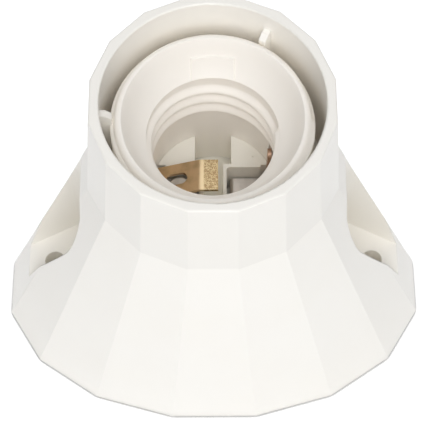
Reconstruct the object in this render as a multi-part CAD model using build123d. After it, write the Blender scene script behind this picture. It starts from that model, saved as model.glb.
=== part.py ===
from build123d import *
from math import cos, hypot, pi, radians, sin, tan
import os

# A straight lamp holder for a ceiling or wall. A faceted housing stands on an oval base and narrows
# to a round collar. A threaded sleeve stands inside the collar, and a contact carrier closes it from
# behind. Millimetres, +Z towards the lamp, origin at the middle of the face that meets the wall.

# Housing: sixteen facets, with one facet centred on the front, the back and each side
FACETS = 16
OVERALL_HEIGHT = 90.3
BASE_LENGTH = 97.5
BASE_WIDTH = 65.4
BASE_LAND = 0.8
CROWN_HEIGHT = 72.0
CROWN_LENGTH = 47.9
CROWN_WIDTH = 49.8
SIDE_LEAN = 1.4
BACK_LEAN = 2.0
COLLAR_ACROSS_TOP = 46.9
COLLAR_TAPER = 0.083
COLLAR_FOOT = 50.0
SKIRT_WALL = 2.2
BORE_RADIUS_TOP = 21.6
BORE_RADIUS_DECK = 22.9
RIM_ROUND = 0.4
DECK_TOP = 60.5
DECK_THICKNESS = 3.0

# Ribs in the gap between the collar and the sleeve
RIB_ANGLES = (180.0, 60.0, -60.0)
RIB_THICKNESS = 1.5
RIB_TOP = 85.4
RIB_ROOT_DEPTH = 1.6
RIB_ROUND = 1.2

# Screw bays at both ends of the base
MOUNT_SPACING = 74.0
MOUNT_HOLE_RADIUS = 2.3
BAY_FLOOR = 16.5
BAY_WIDTH = 13.9
BAY_SPLAY = 26.4
BAY_REACH = 9.0
BAY_INNER_FACE = 28.0
BAY_CORNER = 2.5
BAY_DRAFT = 0.5
BAY_WALL = 1.9
BAY_TUBE_RADIUS = 5.0

# Threaded sleeve
SLEEVE_LIP = 84.1
SLEEVE_RADIUS = 19.2
LIP_INNER_RADIUS = 17.7
LIP_OUTER_RADIUS = 18.35
LIP_CHAMFER = 1.2
FUNNEL_FOOT = 76.4
FUNNEL_FOOT_RADIUS = 13.2
THREAD_RADIUS = 12.25
THREAD_ENTRY = 1.0
THREAD_END = 64.5
CHAMBER_RADIUS = 12.9
SLEEVE_TUBE_WALL = 2.5
SLEEVE_SHELL_WALL = 1.7
SLEEVE_FLANGE = 2.7
SLEEVE_FLANGE_RADIUS = 21.5
SLEEVE_FOOT = 43.7
FUNNEL_PAD_WIDTH = 8.4
FUNNEL_PAD_HEIGHT = 3.6
FUNNEL_PAD_RISE = 0.35

# Contact carrier
CARRIER_TOP = 54.0
CARRIER_BOTTOM = 40.9
CUP_WALL = 1.9
CHANNEL_FLOOR = 43.5
CHANNEL_HALF_WIDTH = 3.85
POCKET_INNER_FACE = 2.85
POCKET_OUTER_FACE = 10.9
POCKET_HALF_DEPTH = 4.76
POCKET_FLOOR = 44.5
POCKET_CORNER = 0.8
POCKET_RIM_WALL = 0.75
WIRE_SLOT = (5.0, 1.8)
EAR_THICKNESS = 3.0
EAR_TOP = 47.7
EAR_RADIUS = 3.0

# Posts and the screws that hold the carrier
POST_RADIUS = 3.2
CARRIER_SCREW_RADIUS = 1.45
CARRIER_SCREW_LENGTH = 9.0
CARRIER_SCREW_HEAD = (2.6, 2.0)

# Contacts, bent from one gauge of brass strip
CONTACT_GAUGE = 0.8
CENTRE_WIDTH = 7.0
CENTRE_TIP_TOP = 59.8
CENTRE_TIP_END = 1.05
CENTRE_TIP_BEND = -2.75
CENTRE_ROOT_X = -11.9
CENTRE_ROOT_TOP = 55.6
CONTACT_BEND = 0.9
TAIL_WIDTH = 5.0
TAIL_FOOT = 51.3
CENTRE_SLOT = (-9.9, -5.4, 2.6)
SIDE_X = 11.7
SIDE_Y = 3.8
SIDE_WIDTH = 2.4
SIDE_TOP = 62.6
SIDE_GROOVE_DEPTH = 1.35

# Terminals: a plate with a tongue, a wire clamp, a clamping screw and a rivet on each side
PLATE_GAUGE = 1.2
PLATE_WIDTH = 5.4
PLATE_INNER_END = 3.7
TONGUE_X = 10.5
TONGUE_TOP = 53.4
CLAMP_TOP = 49.5
CLAMP_GAUGE = 0.9
CLAMP_WIDTH = 8.8
CLAMP_INNER_EDGE = 3.5
CLAMP_OUTER_EDGE = 9.9
CLAMP_FOLD = 1.9
SCREW_X = 7.2
SCREW_Y = -1.4
SCREW_RADIUS = 1.75
SCREW_END = 43.0
SCREW_HEAD = (2.6, 2.0)
SLOT_SIZE = (0.8, 1.1)
RIVET_X = 8.7
RIVET_Y = 1.4
RIVET_RADIUS = 0.9
RIVET_HEAD = (1.3, 0.5)

# Clearances
SEAT = 0.3
RUNNING = 0.05


def outline(length, width, side_lean=0.0, back_lean=0.0):
    """Corners of a faceted oval, with its side facets and its back shoulders drawn in."""
    reach = 1 / cos(pi / FACETS)
    quarter = FACETS // 4
    shoulders = (quarter + 1, 3 * quarter - 2)
    corners = []
    for k in range(FACETS):
        turn = 2 * pi * (k + 0.5) / FACETS
        x = length / 2 * reach * sin(turn)
        y = -width / 2 * reach * cos(turn)
        if abs(x) > length / 2 - 1e-6:
            x -= side_lean if x > 0 else -side_lean
        if k in shoulders:
            x -= back_lean * x / hypot(x, y)
            y -= back_lean * y / hypot(x, y)
        corners.append((x, y))
    return corners


def skirt_rise(z):
    """How far up the slope of the skirt a height is, from 0 to 1."""
    return max(0.0, z - BASE_LAND) / (CROWN_HEIGHT - BASE_LAND)


def skirt_width(z):
    return BASE_WIDTH + (CROWN_WIDTH - BASE_WIDTH) * skirt_rise(z)


def skirt_outline(z, inset=0.0):
    """The skirt's outline at a height, drawn in from its outer face by the inset."""
    rise = skirt_rise(z)
    length = BASE_LENGTH + (CROWN_LENGTH - BASE_LENGTH) * rise
    width = skirt_width(z)
    return outline(length - 2 * inset, width - 2 * inset, SIDE_LEAN * rise, BACK_LEAN * rise)


def post_offset():
    """The posts stand as far out as the skirt's wall leaves room for the carrier's ears."""
    return skirt_width(EAR_TOP) / 2 - SKIRT_WALL - EAR_RADIUS - SEAT


def collar_outline(z):
    """The collar's outline at a height: it widens downwards."""
    across = COLLAR_ACROSS_TOP + 2 * COLLAR_TAPER * (OVERALL_HEIGHT - z)
    return outline(across, across)


def slab(corners, z):
    return Pos(0, 0, z) * make_face(Polyline(*corners, close=True))


def tapered(lower, z_low, upper, z_high):
    """A solid with straight facets between two outlines."""
    return loft([slab(lower, z_low), slab(upper, z_high)], ruled=True)


def turned(profile):
    """A solid turned about Z from radius and height points."""
    return revolve(Plane.XZ * make_face(Polyline(*profile, close=True)), Axis.Z)


def tube(outer, inner, z_low, z_high):
    return turned([(inner, z_low), (outer, z_low), (outer, z_high), (inner, z_high)])


def rod(radius, z_low, z_high, x=0.0, y=0.0):
    centre = (z_low + z_high) / 2
    return Pos(x, y, centre) * Cylinder(radius, z_high - z_low)


def block(x_range, y_range, z_range):
    """A box between three pairs of limits."""
    limits = (x_range, y_range, z_range)
    sizes = [high - low for low, high in limits]
    middle = [(high + low) / 2 for low, high in limits]
    return Pos(*middle) * Box(*sizes)


def strip(points, width, gauge, bend):
    """Flat strip bent along a path of X and Z points, centred on Y."""
    path = Plane.XZ * FilletPolyline(*points, radius=bend)
    section = Plane(path @ 0, x_dir=(0, 1, 0), z_dir=path % 0) * Rectangle(width, gauge)
    return sweep(section, path)


def half_turn(shape):
    """The same piece on the other side of the lamp's axis."""
    return Rot(0, 0, 180) * shape


def skirt_shell():
    """The oval skirt and the round collar, each one facet to a side, as one block."""
    land = extrude(slab(skirt_outline(0), 0), BASE_LAND)
    skirt = tapered(skirt_outline(0), BASE_LAND, skirt_outline(CROWN_HEIGHT), CROWN_HEIGHT)
    low, high = COLLAR_FOOT, OVERALL_HEIGHT
    collar = tapered(collar_outline(low), low, collar_outline(high), high)
    return land + skirt + collar


def wiring_cavity():
    """The hollow under the deck, open at the base."""
    deck_foot = DECK_TOP - DECK_THICKNESS
    lower = skirt_outline(0, SKIRT_WALL)
    hollow = tapered(lower, BASE_LAND, skirt_outline(deck_foot, SKIRT_WALL), deck_foot)
    return extrude(slab(lower, 0), BASE_LAND) + hollow


def collar_bore():
    bore = [
        (0, DECK_TOP),
        (BORE_RADIUS_DECK, DECK_TOP),
        (BORE_RADIUS_TOP, OVERALL_HEIGHT),
        (0, OVERALL_HEIGHT),
    ]
    return turned(bore) + rod(SLEEVE_RADIUS + SEAT, DECK_TOP - DECK_THICKNESS, DECK_TOP)


def screw_bay(side, growth, floor):
    """The well over a fixing hole: open at the end of the base and wider towards the collar."""
    splay = radians(BAY_SPLAY)
    at_hole = BAY_WIDTH / 2 + growth / cos(splay)
    inner = BAY_INNER_FACE - growth
    outer = MOUNT_SPACING / 2 + BAY_REACH
    wide = at_hole + (MOUNT_SPACING / 2 - inner) * tan(splay)
    narrow = at_hole - BAY_REACH * tan(splay)
    plan = slab([(inner, -wide), (outer, -narrow), (outer, narrow), (inner, wide)], floor)
    plan = fillet(plan.vertices().group_by(Axis.X)[0], BAY_CORNER + growth)
    well = extrude(plan, CROWN_HEIGHT - floor, taper=-BAY_DRAFT)
    return well if side > 0 else mirror(well, Plane.YZ)


def rib(angle):
    """A rib that stands on the deck, from the collar's wall to the sleeve."""
    inner = SLEEVE_RADIUS + SEAT
    outer = BORE_RADIUS_TOP + RIB_ROOT_DEPTH
    face = make_face(Polyline(
        (inner, DECK_TOP - 1),
        (outer, DECK_TOP - 1),
        (outer, RIB_TOP),
        (inner + RIB_ROUND, RIB_TOP),
        (inner, RIB_TOP - RIB_ROUND),
        close=True,
    ))
    blade = extrude(Plane.XZ * face, RIB_THICKNESS / 2, both=True)
    return Rot(0, 0, angle) * blade


def housing():
    block_out = skirt_shell()
    shell = block_out - wiring_cavity() - collar_bore()
    for angle in RIB_ANGLES:
        shell += rib(angle)
    for side in (-1, 1):
        x = side * MOUNT_SPACING / 2
        shell += screw_bay(side, BAY_WALL, BAY_FLOOR - BAY_WALL) & block_out
        shell += rod(BAY_TUBE_RADIUS, 0, BAY_FLOOR, x)
        shell -= screw_bay(side, 0.0, BAY_FLOOR)
        shell -= rod(MOUNT_HOLE_RADIUS, 0, BAY_FLOOR, x)
        y = side * post_offset()
        shell += rod(POST_RADIUS, EAR_TOP + SEAT, DECK_TOP - DECK_THICKNESS, y=y)
        pilot_top = EAR_TOP - EAR_THICKNESS + CARRIER_SCREW_LENGTH + SEAT
        pilot = CARRIER_SCREW_RADIUS + RUNNING
        shell -= rod(pilot, EAR_TOP, pilot_top, y=y)
    rim = shell.edges().group_by(Axis.Z)[-1]
    return fillet(rim, RIM_ROUND)


def funnel_pad():
    """The shallow rectangular boss on the back of the funnel."""
    lift = (LIP_INNER_RADIUS - FUNNEL_FOOT_RADIUS) / (SLEEVE_LIP - FUNNEL_FOOT)
    low = FUNNEL_FOOT + 0.3
    high = low + FUNNEL_PAD_HEIGHT
    radius_low = FUNNEL_FOOT_RADIUS + lift * 0.3
    radius_high = radius_low + lift * FUNNEL_PAD_HEIGHT
    face = make_face(Polyline(
        (radius_low - FUNNEL_PAD_RISE, low),
        (radius_low + 1, low),
        (radius_high + 1, high),
        (radius_high - FUNNEL_PAD_RISE, high),
        close=True,
    ))
    half = FUNNEL_PAD_WIDTH / 2
    ring = revolve(Plane.XZ * face, Axis.Z)
    window = block((-half, half), (0, SLEEVE_RADIUS), (low, high))
    return ring & window


def threaded_sleeve():
    """The insulating sleeve: funnel, lamp thread bore, contact chamber, outer shell and flange."""
    tube_outer = CHAMBER_RADIUS + SLEEVE_TUBE_WALL
    shell_inner = SLEEVE_RADIUS - SLEEVE_SHELL_WALL
    flange_top = DECK_TOP - DECK_THICKNESS - SEAT
    flange_foot = flange_top - SLEEVE_FLANGE
    core_top = FUNNEL_FOOT - SLEEVE_TUBE_WALL
    profile = [
        (LIP_INNER_RADIUS, SLEEVE_LIP),
        (FUNNEL_FOOT_RADIUS, FUNNEL_FOOT),
        (THREAD_RADIUS, FUNNEL_FOOT - THREAD_ENTRY),
        (THREAD_RADIUS, THREAD_END),
        (CHAMBER_RADIUS, THREAD_END - (CHAMBER_RADIUS - THREAD_RADIUS)),
        (CHAMBER_RADIUS, SLEEVE_FOOT),
        (tube_outer, SLEEVE_FOOT),
        (tube_outer, core_top),
        (shell_inner, core_top + shell_inner - tube_outer),
        (shell_inner, flange_foot),
        (SLEEVE_FLANGE_RADIUS, flange_foot),
        (SLEEVE_FLANGE_RADIUS, flange_top),
        (SLEEVE_RADIUS, flange_top),
        (SLEEVE_RADIUS, SLEEVE_LIP - LIP_CHAMFER),
        (LIP_OUTER_RADIUS, SLEEVE_LIP),
    ]
    sleeve = turned(profile) + funnel_pad()
    for side in (-1, 1):
        notch = side * post_offset()
        sleeve -= rod(POST_RADIUS + SEAT, flange_foot, flange_top + 2 * SEAT, y=notch)
    groove_x = (SIDE_X - CONTACT_GAUGE, SIDE_X + CONTACT_GAUGE / 2 + SIDE_GROOVE_DEPTH)
    groove_half = SIDE_WIDTH / 2 + 2 * SEAT
    groove_y = (SIDE_Y - groove_half, SIDE_Y + groove_half)
    return sleeve - block(groove_x, groove_y, (SLEEVE_FOOT, THREAD_END))


def terminal_pocket():
    """The pocket for one terminal, with its screw, rivet and wire holes."""
    depth = 2 * POCKET_HALF_DEPTH
    length = POCKET_OUTER_FACE - POCKET_INNER_FACE
    middle = (POCKET_OUTER_FACE + POCKET_INNER_FACE) / 2
    mouth = Pos(middle, 0, POCKET_FLOOR) * RectangleRounded(length, depth, POCKET_CORNER)
    pocket = extrude(mouth, CARRIER_TOP - POCKET_FLOOR)
    notch_half = SIDE_Y + SIDE_WIDTH / 2 + SEAT
    notch_x = (POCKET_OUTER_FACE - POCKET_CORNER, CHAMBER_RADIUS)
    pocket += block(notch_x, (-notch_half, notch_half), (POCKET_FLOOR, CARRIER_TOP))
    pocket += rod(SCREW_RADIUS + SEAT, CARRIER_BOTTOM, POCKET_FLOOR, SCREW_X, SCREW_Y)
    pocket += rod(RIVET_RADIUS + RUNNING, CARRIER_BOTTOM, POCKET_FLOOR, RIVET_X, RIVET_Y)
    slot_length, slot_width = WIRE_SLOT
    slot_x = (SCREW_X - slot_length / 2, SCREW_X + slot_length / 2)
    slot_y = (POCKET_HALF_DEPTH - slot_width, POCKET_HALF_DEPTH)
    return pocket + block(slot_x, slot_y, (CARRIER_BOTTOM, POCKET_FLOOR))


def contact_carrier():
    """The moulding that closes the sleeve from behind and holds both terminals."""
    body_radius = CHAMBER_RADIUS - RUNNING
    cup_inner = CHAMBER_RADIUS + SLEEVE_TUBE_WALL + SEAT
    cup_outer = cup_inner + CUP_WALL
    cup_top = DECK_TOP - DECK_THICKNESS - SLEEVE_FLANGE - 2 * SEAT
    carrier = rod(body_radius, CARRIER_BOTTOM, CARRIER_TOP)
    carrier += rod(cup_outer, CARRIER_BOTTOM, SLEEVE_FOOT - SEAT)
    carrier += tube(cup_outer, cup_inner, CARRIER_BOTTOM, cup_top)
    ear_foot = EAR_TOP - EAR_THICKNESS
    for side in (-1, 1):
        y = side * post_offset()
        ear = rod(EAR_RADIUS, ear_foot, EAR_TOP, y=y)
        reach = sorted((side * (cup_inner + CUP_WALL / 2), y))
        ear += block((-EAR_RADIUS, EAR_RADIUS), reach, (ear_foot, EAR_TOP))
        ear -= rod(CARRIER_SCREW_RADIUS + SEAT, ear_foot, EAR_TOP, y=y)
        carrier += ear
        carrier -= rod(POST_RADIUS + SEAT, EAR_TOP, cup_top, y=y)
    back_reach = (POCKET_HALF_DEPTH + POCKET_RIM_WALL, body_radius + SEAT)
    half = CHANNEL_HALF_WIDTH
    narrow = POCKET_INNER_FACE - POCKET_RIM_WALL
    depth = (CHANNEL_FLOOR, CARRIER_TOP)
    channel = block((-half, half), back_reach, depth)
    channel += half_turn(channel)
    channel += block((-narrow, narrow), (-back_reach[0], back_reach[0]), depth)
    pocket = terminal_pocket()
    return carrier - channel - pocket - half_turn(pocket)


def centre_contact():
    """The sprung leaf under the lamp's tip: a short tail, a rising arm and a level tip."""
    half_gauge = CONTACT_GAUGE / 2
    tip_z = CENTRE_TIP_TOP - half_gauge
    leaf = strip(
        [
            (CENTRE_ROOT_X, TAIL_FOOT),
            (CENTRE_ROOT_X, CENTRE_ROOT_TOP),
            (CENTRE_TIP_BEND, tip_z),
            (CENTRE_TIP_END, tip_z),
        ],
        CENTRE_WIDTH,
        CONTACT_GAUGE,
        CONTACT_BEND,
    )
    low, high, width = CENTRE_SLOT
    cutter = Pos((low + high) / 2, 0, CARRIER_TOP) * SlotOverall(high - low, width)
    leaf -= extrude(cutter, CENTRE_TIP_TOP - CARRIER_TOP)
    reach = (CENTRE_ROOT_X - CONTACT_GAUGE, CENTRE_ROOT_X + CONTACT_GAUGE)
    for side in (-1, 1):
        edge = sorted((side * TAIL_WIDTH / 2, side * CENTRE_WIDTH))
        leaf -= block(reach, edge, (TAIL_FOOT, CENTRE_ROOT_TOP - CONTACT_BEND))
    return leaf


def side_contact():
    """The sprung finger that meets the lamp cap's thread, with a rounded head."""
    low, high = TAIL_FOOT, SIDE_TOP
    head = SIDE_WIDTH / 2
    face = Pos(SIDE_Y, (low + high) / 2) * Rectangle(SIDE_WIDTH, high - low)
    blade = extrude(Plane.YZ.offset(SIDE_X) * face, CONTACT_GAUGE / 2, both=True)
    corners = blade.edges().filter_by(Axis.X).group_by(Axis.Z)[-1]
    blade = fillet(corners, head * 0.9)
    foot_y = (-TAIL_WIDTH / 2, SIDE_Y + head)
    thickness = (SIDE_X - CONTACT_GAUGE / 2, SIDE_X + CONTACT_GAUGE / 2)
    return blade + block(thickness, foot_y, (TAIL_FOOT, TAIL_FOOT + 2 * CONTACT_GAUGE))


def terminal_plate():
    """The fixed plate of a terminal, with the tongue that carries its contact."""
    middle = POCKET_FLOOR + PLATE_GAUGE / 2
    plate = strip(
        [(PLATE_INNER_END, middle), (TONGUE_X, middle), (TONGUE_X, TONGUE_TOP)],
        PLATE_WIDTH,
        PLATE_GAUGE * 0.7,
        CONTACT_BEND,
    )
    plate += block(
        (PLATE_INNER_END, TONGUE_X - CONTACT_BEND),
        (-PLATE_WIDTH / 2, PLATE_WIDTH / 2),
        (POCKET_FLOOR, POCKET_FLOOR + PLATE_GAUGE),
    )
    plate -= rod(SCREW_RADIUS + RUNNING, POCKET_FLOOR, POCKET_FLOOR + PLATE_GAUGE, SCREW_X, SCREW_Y)
    return plate - rod(RIVET_RADIUS + RUNNING, POCKET_FLOOR, POCKET_FLOOR + PLATE_GAUGE, RIVET_X, RIVET_Y)


def wire_clamp():
    """The plate that a terminal screw presses on the wire, with one edge folded down."""
    middle = CLAMP_TOP - CLAMP_GAUGE / 2
    fold_x = CLAMP_INNER_EDGE + CLAMP_GAUGE / 2
    clamp = strip(
        [(fold_x, CLAMP_TOP - CLAMP_FOLD), (fold_x, middle), (CLAMP_OUTER_EDGE, middle)],
        CLAMP_WIDTH,
        CLAMP_GAUGE,
        CONTACT_BEND * 0.6,
    )
    return clamp - rod(SCREW_RADIUS + SEAT / 2, CLAMP_TOP - CLAMP_GAUGE, CLAMP_TOP, SCREW_X, SCREW_Y)


def terminal_screw():
    radius, height = SCREW_HEAD
    seat = CLAMP_TOP + RUNNING
    head = rod(radius, seat, seat + height)
    head = fillet(head.edges().group_by(Axis.Z)[-1], height / 4)
    width, depth = SLOT_SIZE
    head -= block((-radius, radius), (-width / 2, width / 2), (seat + height - depth, seat + height))
    return Pos(SCREW_X, SCREW_Y, 0) * (head + rod(SCREW_RADIUS, SCREW_END, seat))


def terminal_rivet():
    radius, height = RIVET_HEAD
    plate_top = POCKET_FLOOR + PLATE_GAUGE
    shank = rod(RIVET_RADIUS, CARRIER_BOTTOM, plate_top, RIVET_X, RIVET_Y)
    upper = rod(radius, plate_top, plate_top + height, RIVET_X, RIVET_Y)
    lower = rod(radius, CARRIER_BOTTOM - height, CARRIER_BOTTOM, RIVET_X, RIVET_Y)
    return shank + upper + lower


def carrier_screw(side):
    radius, height = CARRIER_SCREW_HEAD
    seat = EAR_TOP - EAR_THICKNESS
    head = rod(radius, seat - height, seat)
    head = fillet(head.edges().group_by(Axis.Z)[0], height / 4)
    width, depth = SLOT_SIZE
    head -= block((-radius, radius), (-width / 2, width / 2), (seat - height, seat - height + depth))
    screw = head + rod(CARRIER_SCREW_RADIUS, seat, seat + CARRIER_SCREW_LENGTH)
    return Pos(0, side * post_offset(), 0) * screw


def main():
    os.makedirs("parts", exist_ok=True)
    nodes = {
        "housing": housing(),
        "threaded_sleeve": threaded_sleeve(),
        "contact_carrier": contact_carrier(),
        "centre_contact": centre_contact(),
        "side_contact": side_contact(),
        "carrier_screw_front": carrier_screw(-1),
        "carrier_screw_back": carrier_screw(1),
    }
    terminal = {
        "terminal_plate": terminal_plate(),
        "wire_clamp": wire_clamp(),
        "terminal_screw": terminal_screw(),
        "terminal_rivet": terminal_rivet(),
    }
    for name, piece in terminal.items():
        nodes["side_" + name] = piece
        nodes["centre_" + name] = half_turn(piece)
    for name, shape in nodes.items():
        export_step(shape, "parts/" + name + ".step")


main()
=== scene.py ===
"""A straight screw lamp holder, dressed over its solids and lit on a plain white floor.

The solids keep their places. This script gives each of them its finish, puts a sleeve with the round
lamp thread in place of the plain one, and sets the floor, the lights and the camera.
"""

import logging
import math
from dataclasses import dataclass
from enum import Enum

import bmesh
import bpy
from mathutils import Matrix, Vector


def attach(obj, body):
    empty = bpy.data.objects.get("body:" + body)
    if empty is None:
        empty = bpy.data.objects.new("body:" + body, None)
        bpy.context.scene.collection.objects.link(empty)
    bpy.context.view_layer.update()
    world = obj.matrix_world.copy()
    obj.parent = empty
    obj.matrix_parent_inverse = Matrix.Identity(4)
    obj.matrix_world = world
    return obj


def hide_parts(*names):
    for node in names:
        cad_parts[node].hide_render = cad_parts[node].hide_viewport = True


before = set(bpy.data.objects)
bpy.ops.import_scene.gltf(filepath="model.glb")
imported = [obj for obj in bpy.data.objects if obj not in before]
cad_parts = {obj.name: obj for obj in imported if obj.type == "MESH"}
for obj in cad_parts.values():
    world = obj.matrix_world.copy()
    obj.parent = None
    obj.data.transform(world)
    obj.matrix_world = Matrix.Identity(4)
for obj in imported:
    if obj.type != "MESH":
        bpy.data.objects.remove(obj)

MM = 0.001
PICTURE_WIDTH = 427
COLLAR_TOP = 0.0903
COLLAR_TAPER = 0.083
COLLAR_FLAT = 0.02345
COLLAR_FACETS = 16
# Width of the band about the collar's facet planes that takes the painted shade.
COLLAR_SHADE_BAND = (0.00001, 0.00003)
LOG = logging.getLogger("lamp_holder")

Colour = tuple[float, float, float]
Point = tuple[float, float]


class Grain(Enum):
    """The fine marks that a rolled or pressed metal piece can show."""

    ROLLED = "rolled"
    KNURLED = "knurled"
    TURNED = "turned"


class Graph:
    """Places and links the nodes of one shader tree, each input a fixed value or a socket."""

    def __init__(self, tree: bpy.types.NodeTree) -> None:
        """Starts an empty graph.

        Args:
            tree: The node tree of a material, a world or a group.
        """
        self.tree = tree
        self.tree.nodes.clear()

    def add(self, kind: str, inputs: dict | None = None, **settings: object) -> bpy.types.Node:
        """Places one node.

        Args:
            kind: The node's Blender type name.
            inputs: Socket names or numbers with a fixed value or a socket to link from.
            **settings: Properties of the node itself.

        Returns:
            The new node.
        """
        node = self.tree.nodes.new(kind)
        for name, value in settings.items():
            setattr(node, name, value)
        for name, value in (inputs or {}).items():
            if isinstance(value, bpy.types.NodeSocket):
                self.tree.links.new(value, node.inputs[name])
            else:
                node.inputs[name].default_value = value
        return node

    def math(self, operation: str, *values: object) -> bpy.types.NodeSocket:
        """Adds one arithmetic node and returns its result."""
        node = self.add("ShaderNodeMath", dict(enumerate(values)), operation=operation)
        return node.outputs[0]

    def blend(self, factor: object, first: object, second: object) -> bpy.types.NodeSocket:
        """Mixes two colours: the first at a factor of 0, the second at 1."""
        node = self.add("ShaderNodeMix", {0: factor, 6: first, 7: second}, data_type="RGBA")
        return node.outputs[2]

    def ramp(
        self, factor: object, low: float, high: float, to_low: float, to_high: float
    ) -> bpy.types.NodeSocket:
        """Maps a value smoothly from one range to another.

        Args:
            factor: The socket that is mapped.
            low: The value that becomes to_low.
            high: The value that becomes to_high.
            to_low: The result at low.
            to_high: The result at high.

        Returns:
            The socket with the mapped value.
        """
        inputs = {"Value": factor, "From Min": low, "From Max": high, "To Min": to_low, "To Max": to_high}
        node = self.add("ShaderNodeMapRange", inputs, interpolation_type="SMOOTHSTEP")
        return node.outputs["Result"]


def open_group(name: str, inputs: dict[str, object], outputs: dict[str, str]) -> tuple:
    """Makes an empty shader node group.

    Args:
        name: The group's name.
        inputs: Input names with their default values: a number or a colour of four parts.
        outputs: Output names with the kind of each, Float or Color.

    Returns:
        The group, its graph, its input node and its output node.
    """
    group = bpy.data.node_groups.new(name, "ShaderNodeTree")
    for label, value in inputs.items():
        kind = "NodeSocketFloat" if isinstance(value, float) else "NodeSocketColor"
        socket = group.interface.new_socket(label, in_out="INPUT", socket_type=kind)
        socket.default_value = value
    for label, kind in outputs.items():
        group.interface.new_socket(label, in_out="OUTPUT", socket_type="NodeSocket" + kind)
    graph = Graph(group)
    return group, graph, graph.add("NodeGroupInput"), graph.add("NodeGroupOutput")


def mould_skin_group() -> bpy.types.NodeTree:
    """The skin of a moulded piece: faint clouds of tone and small changes of gloss.

    Returns:
        A group with the outputs Colour, Roughness and Height.
    """
    inputs = {
        "Colour": (0.9, 0.9, 0.9, 1.0),
        "Shade": (0.8, 0.8, 0.8, 1.0),
        "Roughness": 0.3,
        "Spread": 0.05,
    }
    outputs = {"Colour": "Color", "Roughness": "Float", "Height": "Float"}
    group, graph, given, made = open_group("mould_skin", inputs, outputs)
    place = graph.add("ShaderNodeTexCoord").outputs["Object"]
    broad = graph.add("ShaderNodeTexNoise", {"Vector": place, "Scale": 45.0, "Detail": 2.0})
    fine = graph.add("ShaderNodeTexNoise", {"Vector": place, "Scale": 2200.0, "Detail": 2.0})
    cloud = graph.ramp(broad.outputs["Fac"], 0.35, 0.75, 0.0, 1.0)
    colour = graph.blend(cloud, given.outputs["Colour"], given.outputs["Shade"])
    graph.tree.links.new(colour, made.inputs["Colour"])
    centred = graph.math("SUBTRACT", broad.outputs["Fac"], 0.5)
    swing = graph.math("MULTIPLY", centred, given.outputs["Spread"])
    graph.tree.links.new(graph.math("ADD", given.outputs["Roughness"], swing), made.inputs["Roughness"])
    graph.tree.links.new(fine.outputs["Fac"], made.inputs["Height"])
    return group


def metal_grain_group() -> bpy.types.NodeTree:
    """The surface of a metal piece: rolling lines, pits and small changes of tone.

    Returns:
        A group with the outputs Colour, Roughness and Height.
    """
    inputs = {
        "Colour": (0.7, 0.5, 0.3, 1.0),
        "Tarnish": (0.4, 0.3, 0.2, 1.0),
        "Roughness": 0.3,
        "Scale": 900.0,
        "Stretch": 12.0,
    }
    outputs = {"Colour": "Color", "Roughness": "Float", "Height": "Float"}
    group, graph, given, made = open_group("metal_grain", inputs, outputs)
    place = graph.add("ShaderNodeTexCoord").outputs["Object"]
    stretched = graph.add("ShaderNodeCombineXYZ", {"X": 1.0, "Y": given.outputs["Stretch"], "Z": 1.0})
    scaled = graph.add("ShaderNodeVectorMath", {0: place, 1: stretched.outputs[0]}, operation="MULTIPLY")
    lines = graph.add(
        "ShaderNodeTexNoise",
        {"Vector": scaled.outputs[0], "Scale": given.outputs["Scale"], "Detail": 4.0},
    )
    cloud_scale = graph.math("MULTIPLY", given.outputs["Scale"], 0.35)
    clouds = graph.add("ShaderNodeTexNoise", {"Vector": place, "Scale": cloud_scale, "Detail": 3.0})
    worn = graph.ramp(clouds.outputs["Fac"], 0.38, 0.68, 0.0, 1.0)
    colour = graph.blend(worn, given.outputs["Colour"], given.outputs["Tarnish"])
    graph.tree.links.new(colour, made.inputs["Colour"])
    swing = graph.math("MULTIPLY", graph.math("SUBTRACT", lines.outputs["Fac"], 0.5), 0.25)
    graph.tree.links.new(graph.math("ADD", given.outputs["Roughness"], swing), made.inputs["Roughness"])
    graph.tree.links.new(lines.outputs["Fac"], made.inputs["Height"])
    return group


def knurl_group() -> bpy.types.NodeTree:
    """The fine knurl pressed into a contact's tip: bright facets between dark pits.

    Returns:
        A group with the outputs Colour and Height.
    """
    inputs = {"Pit": (0.4, 0.25, 0.1, 1.0), "Facet": (0.9, 0.7, 0.4, 1.0), "Scale": 5200.0}
    outputs = {"Colour": "Color", "Height": "Float"}
    group, graph, given, made = open_group("knurl", inputs, outputs)
    place = graph.add("ShaderNodeTexCoord").outputs["Object"]
    cells = graph.add("ShaderNodeTexVoronoi", {"Vector": place, "Scale": given.outputs["Scale"]})
    tone = graph.add("ShaderNodeSeparateColor", {"Color": cells.outputs["Color"]})
    bright = graph.ramp(tone.outputs["Red"], 0.25, 0.9, 0.0, 1.0)
    colour = graph.blend(bright, given.outputs["Pit"], given.outputs["Facet"])
    graph.tree.links.new(colour, made.inputs["Colour"])
    graph.tree.links.new(cells.outputs["Distance"], made.inputs["Height"])
    return group


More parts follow.
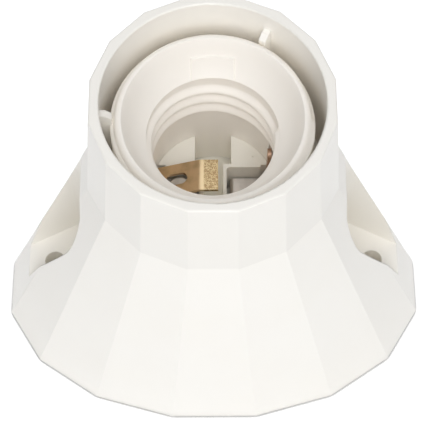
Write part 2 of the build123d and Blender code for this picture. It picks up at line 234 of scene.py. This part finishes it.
@dataclass(frozen=True)
class PlasticFinish:
    """A moulded thermoplastic."""

    name: str
    colour: Colour
    shade: Colour
    roughness: float
    spread: float = 0.06
    edge_radius: float = 0.0
    # Painted shade on the collar's facets: the factor that their colour is multiplied by; 1 paints none.
    collar_painted_shade_tone: float = 1.0
    bump_strength: float = 0.08
    bump_depth: float = 0.00002

    def material(self, skin: bpy.types.NodeTree) -> bpy.types.Material:
        """Makes the material.

        Args:
            skin: The mould skin group.

        Returns:
            The finished material.
        """
        made = bpy.data.materials.new(self.name)
        made.use_nodes = True
        made.diffuse_color = (*self.colour, 1.0)
        graph = Graph(made.node_tree)
        texture = graph.add("ShaderNodeGroup", node_tree=skin)
        texture.inputs["Colour"].default_value = (*self.colour, 1.0)
        texture.inputs["Shade"].default_value = (*self.shade, 1.0)
        texture.inputs["Roughness"].default_value = self.roughness
        texture.inputs["Spread"].default_value = self.spread
        bump = graph.add(
            "ShaderNodeBump",
            {
                "Height": texture.outputs["Height"],
                "Strength": self.bump_strength,
                "Distance": self.bump_depth,
            },
        )
        colour = texture.outputs["Colour"]
        # Painted shade: the collar's facets get a colour drawn down a little against the skirt's.
        if self.collar_painted_shade_tone < 1.0:
            colour = self.paint_collar_shade(graph, colour)
        if self.edge_radius:
            edge = graph.add("ShaderNodeBevel", {"Radius": self.edge_radius}, samples=6)
            graph.tree.links.new(edge.outputs[0], bump.inputs["Normal"])
        shader = graph.add(
            "ShaderNodeBsdfPrincipled",
            {
                "Base Color": colour,
                "Roughness": texture.outputs["Roughness"],
                "Normal": bump.outputs["Normal"],
                "IOR": 1.5,
            },
        )
        graph.add("ShaderNodeOutputMaterial", {"Surface": shader.outputs[0]})
        return made

    def paint_collar_shade(self, graph: Graph, colour: object) -> bpy.types.NodeSocket:
        """Paints shade onto the collar's facets: their colour is drawn down a little against the skirt's.

        Args:
            graph: The material's graph.
            colour: The skirt's colour socket.

        Returns:
            The colour of the whole housing.
        """
        place = graph.add("ShaderNodeTexCoord").outputs["Object"]
        axes = graph.add("ShaderNodeSeparateXYZ", {0: place}).outputs
        facet = 2 * math.pi / COLLAR_FACETS
        turn = graph.math("ARCTAN2", axes["Y"], axes["X"])
        whole = graph.math("ROUND", graph.math("DIVIDE", turn, facet))
        off = graph.math("SUBTRACT", turn, graph.math("MULTIPLY", whole, facet))
        square = graph.math("MULTIPLY", axes["Y"], axes["Y"])
        away = graph.math("SQRT", graph.math("MULTIPLY_ADD", axes["X"], axes["X"], square))
        across = graph.math("MULTIPLY", away, graph.math("COSINE", off))
        slope = graph.math("MULTIPLY", graph.math("SUBTRACT", COLLAR_TOP, axes["Z"]), COLLAR_TAPER)
        past = graph.math("SUBTRACT", across, graph.math("ADD", slope, COLLAR_FLAT))
        # Nought on the collar's facet planes and one off them, so the painted shade lands on the collar's
        # facets.
        skirt = graph.ramp(graph.math("ABSOLUTE", past), *COLLAR_SHADE_BAND, 0.0, 1.0)
        tone = graph.math("MULTIPLY_ADD", skirt, 1.0 - self.collar_painted_shade_tone, self.collar_painted_shade_tone)
        return graph.add("ShaderNodeVectorMath", {0: colour, 1: tone}, operation="MULTIPLY").outputs[0]


@dataclass(frozen=True)
class MetalFinish:
    """A bare or plated metal."""

    name: str
    colour: Colour
    tarnish: Colour
    roughness: float
    grain: Grain = Grain.ROLLED
    scale: float = 900.0
    stretch: float = 12.0
    bump_strength: float = 0.4
    bump_depth: float = 0.00003
    bend_at: float = -0.0027
    bend_half: float = 0.0004
    knurl_from: float = -0.0021
    knurl_fade: float = 0.0004
    knurl_depth: float = 1.5
    worn_share: float = 0.75
    # Colour of the painted highlight laid from the bend on.
    bend_painted_highlight: Colour = (0.80, 0.64, 0.40)
    facet: Colour = (0.66, 0.53, 0.33)

    def material(self, skin: bpy.types.NodeTree, knurl: bpy.types.NodeTree) -> bpy.types.Material:
        """Makes the material.

        Args:
            skin: The metal grain group.
            knurl: The knurl group, used where the grain is knurled.

        Returns:
            The finished material.
        """
        made = bpy.data.materials.new(self.name)
        made.use_nodes = True
        made.diffuse_color = (*self.colour, 1.0)
        graph = Graph(made.node_tree)
        texture = graph.add("ShaderNodeGroup", node_tree=skin)
        texture.inputs["Colour"].default_value = (*self.colour, 1.0)
        texture.inputs["Tarnish"].default_value = (*self.tarnish, 1.0)
        texture.inputs["Roughness"].default_value = self.roughness
        texture.inputs["Scale"].default_value = self.scale
        texture.inputs["Stretch"].default_value = self.stretch if self.grain is Grain.ROLLED else 1.0
        colour, height = texture.outputs["Colour"], texture.outputs["Height"]
        if self.grain is Grain.KNURLED:
            worn = (self.worn_share * part for part in self.colour)
            texture.inputs["Tarnish"].default_value = (*worn, 1.0)
            colour, height = self.knurled(graph, knurl, colour, height)
        bump = graph.add(
            "ShaderNodeBump",
            {"Height": height, "Strength": self.bump_strength, "Distance": self.bump_depth},
        )
        shader = graph.add(
            "ShaderNodeBsdfPrincipled",
            {
                "Base Color": colour,
                "Roughness": texture.outputs["Roughness"],
                "Normal": bump.outputs["Normal"],
                "Metallic": 1.0,
            },
        )
        graph.add("ShaderNodeOutputMaterial", {"Surface": shader.outputs[0]})
        return made

    def knurled(self, graph: Graph, knurl: bpy.types.NodeTree, colour: object, height: object) -> tuple:
        """Lays a painted highlight (a lighter brass from the bend on) and the knurl over the plain grain,
        each from one place on.

        Args:
            graph: The material's graph.
            knurl: The knurl group.
            colour: The grain's colour socket.
            height: The grain's height socket.

        Returns:
            The sockets with the colour and the height of both together.
        """
        pattern = graph.add("ShaderNodeGroup", node_tree=knurl)
        pattern.inputs["Pit"].default_value = (*self.tarnish, 1.0)
        pattern.inputs["Facet"].default_value = (*self.facet, 1.0)
        place = graph.add("ShaderNodeTexCoord").outputs["Object"]
        along = graph.add("ShaderNodeSeparateXYZ", {0: place}).outputs["X"]
        # Painted highlight: a lighter brass from the bend on, standing in for the light that the bend's
        # rounding catches.
        bend_highlight_mask = graph.ramp(along, self.bend_at - self.bend_half, self.bend_at + self.bend_half, 0.0, 1.0)
        tip = graph.ramp(along, self.knurl_from, self.knurl_from + self.knurl_fade, 0.0, 1.0)
        plain = graph.blend(bend_highlight_mask, colour, (*self.bend_painted_highlight, 1.0))
        both = graph.blend(tip, plain, pattern.outputs["Colour"])
        pressed = graph.math("MULTIPLY", tip, self.knurl_depth)
        rise = graph.math("MULTIPLY", pattern.outputs["Height"], pressed)
        return both, graph.math("ADD", height, rise)


# The housing's collar facets carry painted shade, at 0.94 of the skirt's colour.
HOUSING_WHITE = PlasticFinish(
    "housing_white", (0.96, 0.94, 0.895), (0.955, 0.932, 0.882), 0.30, edge_radius=0.0003, collar_painted_shade_tone=0.94
)
SLEEVE_WHITE = PlasticFinish("sleeve_white", (0.96, 0.93, 0.885), (0.955, 0.92, 0.87), 0.34)
CARRIER_WHITE = PlasticFinish("carrier_white", (0.90, 0.885, 0.82), (0.88, 0.865, 0.795), 0.42)
TIP_BRASS = MetalFinish(
    "tip_brass", (0.70, 0.51, 0.31), (0.40, 0.27, 0.14), 0.34, grain=Grain.KNURLED, facet=(0.68, 0.55, 0.33)
)
CONTACT_BRASS = MetalFinish("contact_brass", (0.56, 0.38, 0.28), (0.42, 0.27, 0.19), 0.50)
TERMINAL_BRASS = MetalFinish("terminal_brass", (0.60, 0.42, 0.22), (0.46, 0.32, 0.18), 0.35)
ZINC_PLATE = MetalFinish("zinc_plate", (0.71, 0.67, 0.63), (0.62, 0.58, 0.54), 0.38)
SCREW_STEEL = MetalFinish("screw_steel", (0.66, 0.63, 0.59), (0.52, 0.49, 0.46), 0.34, grain=Grain.TURNED)


class Finishes:
    """All the materials of the holder, made once."""

    def __init__(self) -> None:
        """Builds the shared groups and the materials."""
        self.skin = mould_skin_group()
        self.grain = metal_grain_group()
        self.knurl = knurl_group()
        self.made: dict[str, bpy.types.Material] = {}

    def give(self, piece: bpy.types.Object, finish: PlasticFinish | MetalFinish) -> None:
        """Dresses one piece in one finish.

        Args:
            piece: The mesh object.
            finish: The finish that it gets all over.
        """
        if finish.name not in self.made:
            plastic = isinstance(finish, PlasticFinish)
            groups = (self.skin,) if plastic else (self.grain, self.knurl)
            self.made[finish.name] = finish.material(*groups)
        piece.data.materials.clear()
        piece.data.materials.append(self.made[finish.name])
        LOG.info("%s is dressed in %s", piece.name, finish.name)


def smooth_by_angle(mesh: bpy.types.Mesh, degrees: float) -> None:
    """Shades a mesh smooth, with sharp edges where its faces turn by more than an angle.

    Args:
        mesh: The mesh to shade.
        degrees: The largest turn that stays smooth.
    """
    work = bmesh.new()
    work.from_mesh(mesh)
    limit = math.radians(degrees)
    for face in work.faces:
        face.smooth = True
    for edge in work.edges:
        edge.smooth = len(edge.link_faces) != 2 or edge.calc_face_angle() < limit
    work.to_mesh(mesh)
    work.free()


@dataclass(frozen=True)
class LampThread:
    """The round thread in the bore: one rolled ridge that climbs the wall and ends abruptly."""

    crest_radius: float = 12.25
    root_radius: float = 13.45
    pitch: float = 3.65
    crest_height: float = 72.0
    crest_turn: float = 90.0
    last_turn: float = 373.0
    fade_turn: float = 8.0
    sharpness: float = 1.15
    mouth_depth: float = 0.4

    def radius(self, turn: float, height: float, mouth: float, mouth_radius: float) -> float:
        """The bore's radius at one place.

        Args:
            turn: The angle about the axis in degrees, from 0 to 360.
            height: The height in millimetres.
            mouth: The height where the funnel ends.
            mouth_radius: The radius where the funnel ends.

        Returns:
            The radius in millimetres: small on the ridge, large in the groove.
        """
        along = (height - self.crest_height) / self.pitch - (turn - self.crest_turn) / 360.0
        wound = turn + 360.0 * round(along)
        left = min(1.0, max(0.0, (self.last_turn - wound) / self.fade_turn))
        ridge = (0.5 + 0.5 * math.cos(2 * math.pi * along)) ** self.sharpness
        reach = self.root_radius - (self.root_radius - self.crest_radius) * ridge * left
        opened = min(1.0, max(0.0, (mouth - height) / self.mouth_depth))
        return mouth_radius + (reach - mouth_radius) * opened


@dataclass(frozen=True)
class RingThread:
    """The shallow thread on the sleeve's outside, which takes a shade ring."""

    crest_rise: float = 0.8
    pitch: float = 2.6
    first_height: float = 83.0
    first_turn: float = -2.0
    crest_half: float = 0.3
    start_turn: float = 20.0
    start_share: float = 0.4
    low: float = 74.0

    def radius(self, turn: float, height: float, root: float) -> float:
        """The outer radius at one place.

        Args:
            turn: The angle about the axis in degrees, from 0 to 360.
            height: The height in millimetres.
            root: The radius of the plain wall.

        Returns:
            The radius in millimetres.
        """
        along = (height - self.first_height) / self.pitch - (turn - self.first_turn) / 360.0
        wraps = round(along)
        if wraps > -1 or height < self.low:
            return root
        away = abs(along - wraps)
        wound = -360.0 * wraps - (turn - self.first_turn)
        started = min(1.0, wound / self.start_turn + self.start_share)
        ridge = max(0.0, 1.0 - (away / self.crest_half) ** 2)
        return root + self.crest_rise * ridge * max(0.0, min(1.0, started))


@dataclass
class SleeveMoulding:
    """The insulating sleeve with its funnel, lamp thread, contact chamber, shell and flange."""

    radius: float = 19.2
    lip: tuple[Point, ...] = ((19.2, 82.9), (19.08, 83.3), (18.8, 83.75), (18.4, 84.02), (18.05, 84.1))
    funnel: tuple[Point, ...] = (
        (17.75, 84.05), (17.5, 83.6), (17.0, 82.3), (16.45, 80.95), (15.8, 79.7),
        (15.05, 78.5), (14.15, 77.35), (13.2, 76.4),
    )
    thread_end: float = 64.5
    chamber_radius: float = 12.9
    tube_radius: float = 15.4
    shell_inner: float = 17.5
    core_top: float = 73.9
    flange_foot: float = 54.5
    flange_top: float = 57.2
    flange_radius: float = 21.5
    foot: float = 43.7
    post_offset: float = 22.06
    post_notch: float = 3.5
    key_reach: float = 13.45
    key_limit: float = 14.6
    key_y: Point = (2.0, 5.6)
    smooth_angle: float = 38.0
    pad_half: float = 4.2
    pad_low: float = 76.75
    pad_high: float = 80.3
    pad_rise: float = 0.42
    pad_flank: float = 0.5
    steps: int = 360
    thread_step: float = 0.11
    ring_step: float = 0.2
    thread: LampThread = LampThread()
    ring: RingThread = RingThread()

    def profile(self) -> list[tuple[float, float, str]]:
        """The closed section of the sleeve.

        Returns:
            Points of radius, height and the kind of surface that the point lies on.
        """
        mouth = self.funnel[-1][1]
        points = [(radius, height, "funnel") for radius, height in self.funnel]
        count = int((mouth - self.thread_end) / self.thread_step)
        points += [(0.0, mouth - row * self.thread_step, "thread") for row in range(1, count + 1)]
        points += [
            (self.chamber_radius, self.thread_end - 0.3, "plain"),
            (self.chamber_radius, self.thread_end - 0.32, "chamber"),
            (self.chamber_radius, self.foot, "chamber"),
            (self.tube_radius, self.foot, "plain"),
            (self.tube_radius, self.core_top, "plain"),
            (self.shell_inner, self.core_top + self.shell_inner - self.tube_radius, "plain"),
            (self.shell_inner, self.flange_foot, "plain"),
            (self.flange_radius, self.flange_foot, "flange"),
            (self.flange_radius, self.flange_top, "flange"),
        ]
        top = self.lip[0][1]
        rows = int((top - self.ring.low) / self.ring_step)
        points.append((self.radius, self.flange_top, "plain"))
        points += [(self.radius, top - row * self.ring_step, "ring") for row in range(rows, -1, -1)]
        points += [(radius, height, "plain") for radius, height in self.lip[1:]]
        return points

    def reach(self, kind: str, radius: float, height: float, turn: float) -> float:
        """How far the surface stands from the axis at one place.

        Args:
            kind: The kind of surface.
            radius: The section's own radius there.
            height: The height in millimetres.
            turn: The angle about the axis in degrees, from 0 to 360.

        Returns:
            The radius in millimetres.
        """
        if kind == "thread":
            foot_radius, mouth = self.funnel[-1]
            return self.thread.radius(turn, height, mouth, foot_radius)
        if kind == "ring":
            return self.ring.radius(turn, height, radius)
        sine, cosine = math.sin(math.radians(turn)), math.cos(math.radians(turn))
        if kind == "chamber" and cosine > 0 and self.key_y[0] < radius * sine < self.key_y[1]:
            return min(self.key_reach / cosine, self.key_limit)
        if kind == "flange":
            return self.notched(radius, sine)
        return radius

    def notched(self, radius: float, sine: float) -> float:
        """The flange's radius, drawn in round the posts at the front and back."""
        inside = self.post_notch**2 - self.post_offset**2 * (1 - sine * sine)
        if inside <= 0:
            return radius
        return min(radius, max(self.radius, self.post_offset * abs(sine) - math.sqrt(inside)))

    def mesh(self) -> bpy.types.Mesh:
        """Turns the section about the axis, with both threads, the key and the post notches."""
        work = bmesh.new()
        rings = []
        for radius, height, kind in self.profile():
            ring = []
            for step in range(self.steps):
                turn = 360.0 * step / self.steps
                reach = self.reach(kind, radius, height, turn) * MM
                angle = math.radians(turn)
                ring.append(work.verts.new((reach * math.cos(angle), reach * math.sin(angle), height * MM)))
            rings.append(ring)
        for index, ring in enumerate(rings):
            below = rings[(index + 1) % len(rings)]
            for step in range(self.steps):
                after = (step + 1) % self.steps
                work.faces.new((ring[step], ring[after], below[after], below[step]))
        self.add_pad(work)
        bmesh.ops.recalc_face_normals(work, faces=work.faces)
        mesh = bpy.data.meshes.new("threaded_sleeve_moulding")
        work.to_mesh(mesh)
        work.free()
        return mesh

    def funnel_radius(self, height: float) -> float:
        """The funnel's radius at a height."""
        for (outer, above), (inner, below) in zip(self.funnel, self.funnel[1:]):
            if height >= below:
                return inner + (outer - inner) * (height - below) / (above - below)
        return self.funnel[-1][0]

    def add_pad(self, work: bmesh.types.BMesh, columns: int = 16, rows: int = 8) -> None:
        """Lays the raised pad on the back of the funnel.

        Args:
            work: The mesh that gets the pad.
            columns: Its divisions across.
            rows: Its divisions from top to bottom.
        """
        front, back = [], []
        for row in range(rows + 1):
            height = self.pad_high + (self.pad_low - self.pad_high) * row / rows
            wall = self.funnel_radius(height)
            for column in range(columns + 1):
                share = 2 * column / columns - 1
                sheets = (
                    (front, wall - self.pad_rise, self.pad_half * share),
                    (back, wall + self.pad_rise, (self.pad_half + self.pad_flank) * share),
                )
                for sheet, radius, x in sheets:
                    sheet.append(work.verts.new((x * MM, math.sqrt(radius**2 - x * x) * MM, height * MM)))
        width = columns + 1
        for row in range(rows):
            for column in range(columns):
                spot = row * width + column
                corners = (spot, spot + 1, spot + 1 + width, spot + width)
                work.faces.new([front[corner] for corner in corners])
                work.faces.new([back[corner] for corner in reversed(corners)])
        rim = [row * width for row in range(rows + 1)]
        rim += [rows * width + column for column in range(1, width)]
        rim += [row * width + columns for row in range(rows - 1, -1, -1)]
        rim += [column for column in range(columns - 1, 0, -1)]
        for spot, after in zip(rim, rim[1:] + rim[:1]):
            work.faces.new((front[spot], front[after], back[after], back[spot]))

    def build(self, finishes: Finishes) -> bpy.types.Object:
        """Makes the sleeve and puts it in place of the plain solid.

        Args:
            finishes: The holder's materials.

        Returns:
            The sleeve.
        """
        mesh = self.mesh()
        smooth_by_angle(mesh, self.smooth_angle)
        piece = bpy.data.objects.new("threaded_sleeve_moulding", mesh)
        bpy.context.scene.collection.objects.link(piece)
        finishes.give(piece, SLEEVE_WHITE)
        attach(piece, "holder")
        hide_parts("threaded_sleeve")
        return piece


@dataclass
class GateMark:
    """The small round mark that the mould's gate leaves on the carrier's pad."""

    place: tuple[float, float, float] = (8.56, 7.46, 54.0)
    radius: float = 0.4
    top_share: float = 0.8
    height: float = 0.4
    steps: int = 20

    def build(self, finishes: Finishes) -> bpy.types.Object:
        """Makes the mark on the carrier.

        Args:
            finishes: The holder's materials.

        Returns:
            The mark.
        """
        work = bmesh.new()
        spot = Matrix.Translation(Vector(self.place) * MM)
        bmesh.ops.create_cone(
            work, cap_ends=True, segments=self.steps, radius1=self.radius * MM,
            radius2=self.radius * MM * self.top_share, depth=self.height * MM, matrix=spot,
        )
        mesh = bpy.data.meshes.new("gate_mark")
        work.to_mesh(mesh)
        work.free()
        piece = bpy.data.objects.new("gate_mark", mesh)
        bpy.context.scene.collection.objects.link(piece)
        finishes.give(piece, CARRIER_WHITE)
        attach(piece, "holder")
        return piece


@dataclass
class SolidDress:
    """Gives the solids that stay as they are their finishes and their shading."""

    bevel_width: float = 0.00012
    bevel_limit: float = 40.0

    def soften_edges(self, piece: bpy.types.Object) -> None:
        """Rounds the cut edges of a metal piece a little, so that they catch the light."""
        rounding = piece.modifiers.new("soft_edges", "BEVEL")
        rounding.width = self.bevel_width
        rounding.segments = 2
        rounding.limit_method = "ANGLE"
        rounding.angle_limit = math.radians(self.bevel_limit)
        rounding.harden_normals = True

    def build(self, finishes: Finishes) -> None:
        """Dresses every solid.

        Args:
            finishes: The holder's materials.
        """
        wear = {
            "housing": HOUSING_WHITE,
            "contact_carrier": CARRIER_WHITE,
            "centre_contact": TIP_BRASS,
            "side_contact": CONTACT_BRASS,
            "side_terminal_plate": TERMINAL_BRASS,
            "centre_terminal_plate": TERMINAL_BRASS,
            "side_terminal_rivet": TERMINAL_BRASS,
            "centre_terminal_rivet": TERMINAL_BRASS,
            "side_wire_clamp": ZINC_PLATE,
            "centre_wire_clamp": ZINC_PLATE,
            "side_terminal_screw": SCREW_STEEL,
            "centre_terminal_screw": SCREW_STEEL,
            "carrier_screw_front": SCREW_STEEL,
            "carrier_screw_back": SCREW_STEEL,
        }
        for node, finish in wear.items():
            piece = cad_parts[node]
            finishes.give(piece, finish)
            if isinstance(finish, MetalFinish):
                self.soften_edges(piece)


@dataclass
class Studio:
    """The floor, the soft lights and the surroundings."""

    floor_half: float = 3.0
    floor_white: float = 0.85
    # The floor's colour inside its painted contact shadow.
    floor_painted_shadow: float = 0.45
    floor_glow: float = 0.62
    ambient: float = 0.32
    key_power: float = 2.9
    key_size: float = 0.7
    key_place: tuple[float, float, float] = (0.0, -0.8, 0.5)
    high_power: float = 2.9
    high_size: float = 0.4
    high_place: tuple[float, float, float] = (0.04, -0.45, 0.88)
    top_power: float = 0.45
    top_size: float = 0.3
    top_place: tuple[float, float, float] = (0.0, 0.05, 1.0)
    back_power: float = 1.2
    back_size: float = 0.6
    back_place: tuple[float, float, float] = (0.0, 0.78, 0.58)
    lit_height: float = 0.045
    # How far the floor's painted contact shadow reaches from the holder's foot, and over which occlusion it
    # fades.
    painted_shadow_reach: float = 0.0014
    painted_shadow_range: Point = (0.5, 0.9)
    diffuse_bounces: int = 12

    def seen_directly(self, graph: Graph) -> bpy.types.NodeSocket:
        """One where a camera, mirror or glass ray meets the surface, and nought for soft light."""
        path = graph.add("ShaderNodeLightPath")
        mirrored = graph.math("MAXIMUM", path.outputs["Is Glossy Ray"], path.outputs["Is Transmission Ray"])
        return graph.math("MAXIMUM", path.outputs["Is Camera Ray"], mirrored)

    def build_floor(self) -> bpy.types.Object:
        """Lays the plain white floor, which keeps the holder's soft shadow; near the holder's foot it also
        has a painted contact shadow, with its colour drawn dark and its glow taken away.
        """
        half = self.floor_half
        mesh = bpy.data.meshes.new("studio_floor")
        corners = [(-half, -half, 0), (half, -half, 0), (half, half, 0), (-half, half, 0)]
        mesh.from_pydata(corners, [], [(0, 1, 2, 3)])
        floor = bpy.data.objects.new("studio_floor", mesh)
        bpy.context.scene.collection.objects.link(floor)
        made = bpy.data.materials.new("studio_floor_white")
        made.use_nodes = True
        graph = Graph(made.node_tree)
        # Painted contact shadow: near the holder's foot the floor's colour is drawn down and its glow taken
        # away.
        near = graph.add("ShaderNodeAmbientOcclusion", {"Distance": self.painted_shadow_reach}, samples=8)
        glow_outside_shadow = graph.ramp(near.outputs["AO"], *self.painted_shadow_range, 0.0, self.floor_glow)
        white = graph.ramp(near.outputs["AO"], *self.painted_shadow_range, self.floor_painted_shadow, self.floor_white)
        paper = graph.add("ShaderNodeBsdfDiffuse", {"Color": white})
        strength = graph.math("MULTIPLY", self.seen_directly(graph), glow_outside_shadow)
        glow = graph.add("ShaderNodeEmission", {"Color": (1.0, 1.0, 1.0, 1.0), "Strength": strength})
        both = graph.add("ShaderNodeAddShader", {0: paper.outputs[0], 1: glow.outputs[0]})
        graph.add("ShaderNodeOutputMaterial", {"Surface": both.outputs[0]})
        mesh.materials.append(made)
        return floor

    def build_world(self) -> None:
        """Surrounds the holder with even white light, seen as plain white."""
        world = bpy.data.worlds.new("studio_surroundings")
        world.use_nodes = True
        graph = Graph(world.node_tree)
        strength = graph.ramp(self.seen_directly(graph), 0.0, 1.0, self.ambient, 1.0)
        shine = graph.add("ShaderNodeBackground", {"Color": (1.0, 1.0, 1.0, 1.0), "Strength": strength})
        graph.add("ShaderNodeOutputWorld", {"Surface": shine.outputs[0]})
        bpy.context.scene.world = world

    def build_light(self, name: str, power: float, size: float, place: tuple) -> bpy.types.Object:
        """Hangs one soft square light that faces the holder.

        Args:
            name: The light's name.
            power: Its power in watts.
            size: The length of its side in metres.
            place: Where it hangs, in metres.

        Returns:
            The light.
        """
        data = bpy.data.lights.new(name, "AREA")
        data.energy = power
        data.size = size
        light = bpy.data.objects.new(name, data)
        light.location = place
        towards = Vector((0.0, 0.0, self.lit_height)) - Vector(place)
        light.rotation_euler = towards.to_track_quat("-Z", "Y").to_euler()
        bpy.context.scene.collection.objects.link(light)
        return light

    def build(self) -> None:
        """Sets up the whole studio."""
        self.build_floor()
        self.build_world()
        self.build_light("front_softbox", self.key_power, self.key_size, self.key_place)
        self.build_light("high_softbox", self.high_power, self.high_size, self.high_place)
        self.build_light("top_softbox", self.top_power, self.top_size, self.top_place)
        self.build_light("back_softbox", self.back_power, self.back_size, self.back_place)
        bpy.context.scene.view_settings.view_transform = "Standard"
        bpy.context.scene.cycles.diffuse_bounces = self.diffuse_bounces


@dataclass
class PictureCamera:
    """The camera of the reference picture: straight in front of the holder, high above it."""

    distance: float = 320.0
    elevation: float = 64.0
    roll: float = -0.25
    focal_pixels: float = 1468.0
    aim: tuple[float, float, float] = (0.05, 0.0, 42.3)
    sensor: float = 36.0
    clip_start: float = 0.01

    def build(self) -> bpy.types.Object:
        """Places the camera and makes it the scene's own."""
        data = bpy.data.cameras.new("picture_camera")
        data.sensor_width = self.sensor
        data.lens = self.focal_pixels / PICTURE_WIDTH * self.sensor
        data.clip_start = self.clip_start
        camera = bpy.data.objects.new("picture_camera", data)
        rise = math.radians(self.elevation)
        forward = Vector((0.0, math.cos(rise), -math.sin(rise)))
        side = Vector((1.0, 0.0, 0.0))
        top = side.cross(forward)
        lean = math.radians(self.roll)
        right = math.cos(lean) * side + math.sin(lean) * top
        above = -math.sin(lean) * side + math.cos(lean) * top
        turn = Matrix((right, above, -forward)).transposed()
        spot = Vector(self.aim) - self.distance * forward
        camera.matrix_world = Matrix.Translation(spot * MM) @ turn.to_4x4()
        bpy.context.scene.collection.objects.link(camera)
        bpy.context.scene.camera = camera
        return camera


def main() -> None:
    """Builds the holder's pieces, the studio and the camera."""
    logging.basicConfig(level=logging.INFO, format="%(name)s: %(message)s")
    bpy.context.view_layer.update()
    finishes = Finishes()
    SolidDress().build(finishes)
    SleeveMoulding().build(finishes)
    GateMark().build(finishes)
    Studio().build()
    PictureCamera().build()


if __name__ == "__main__":
    main()
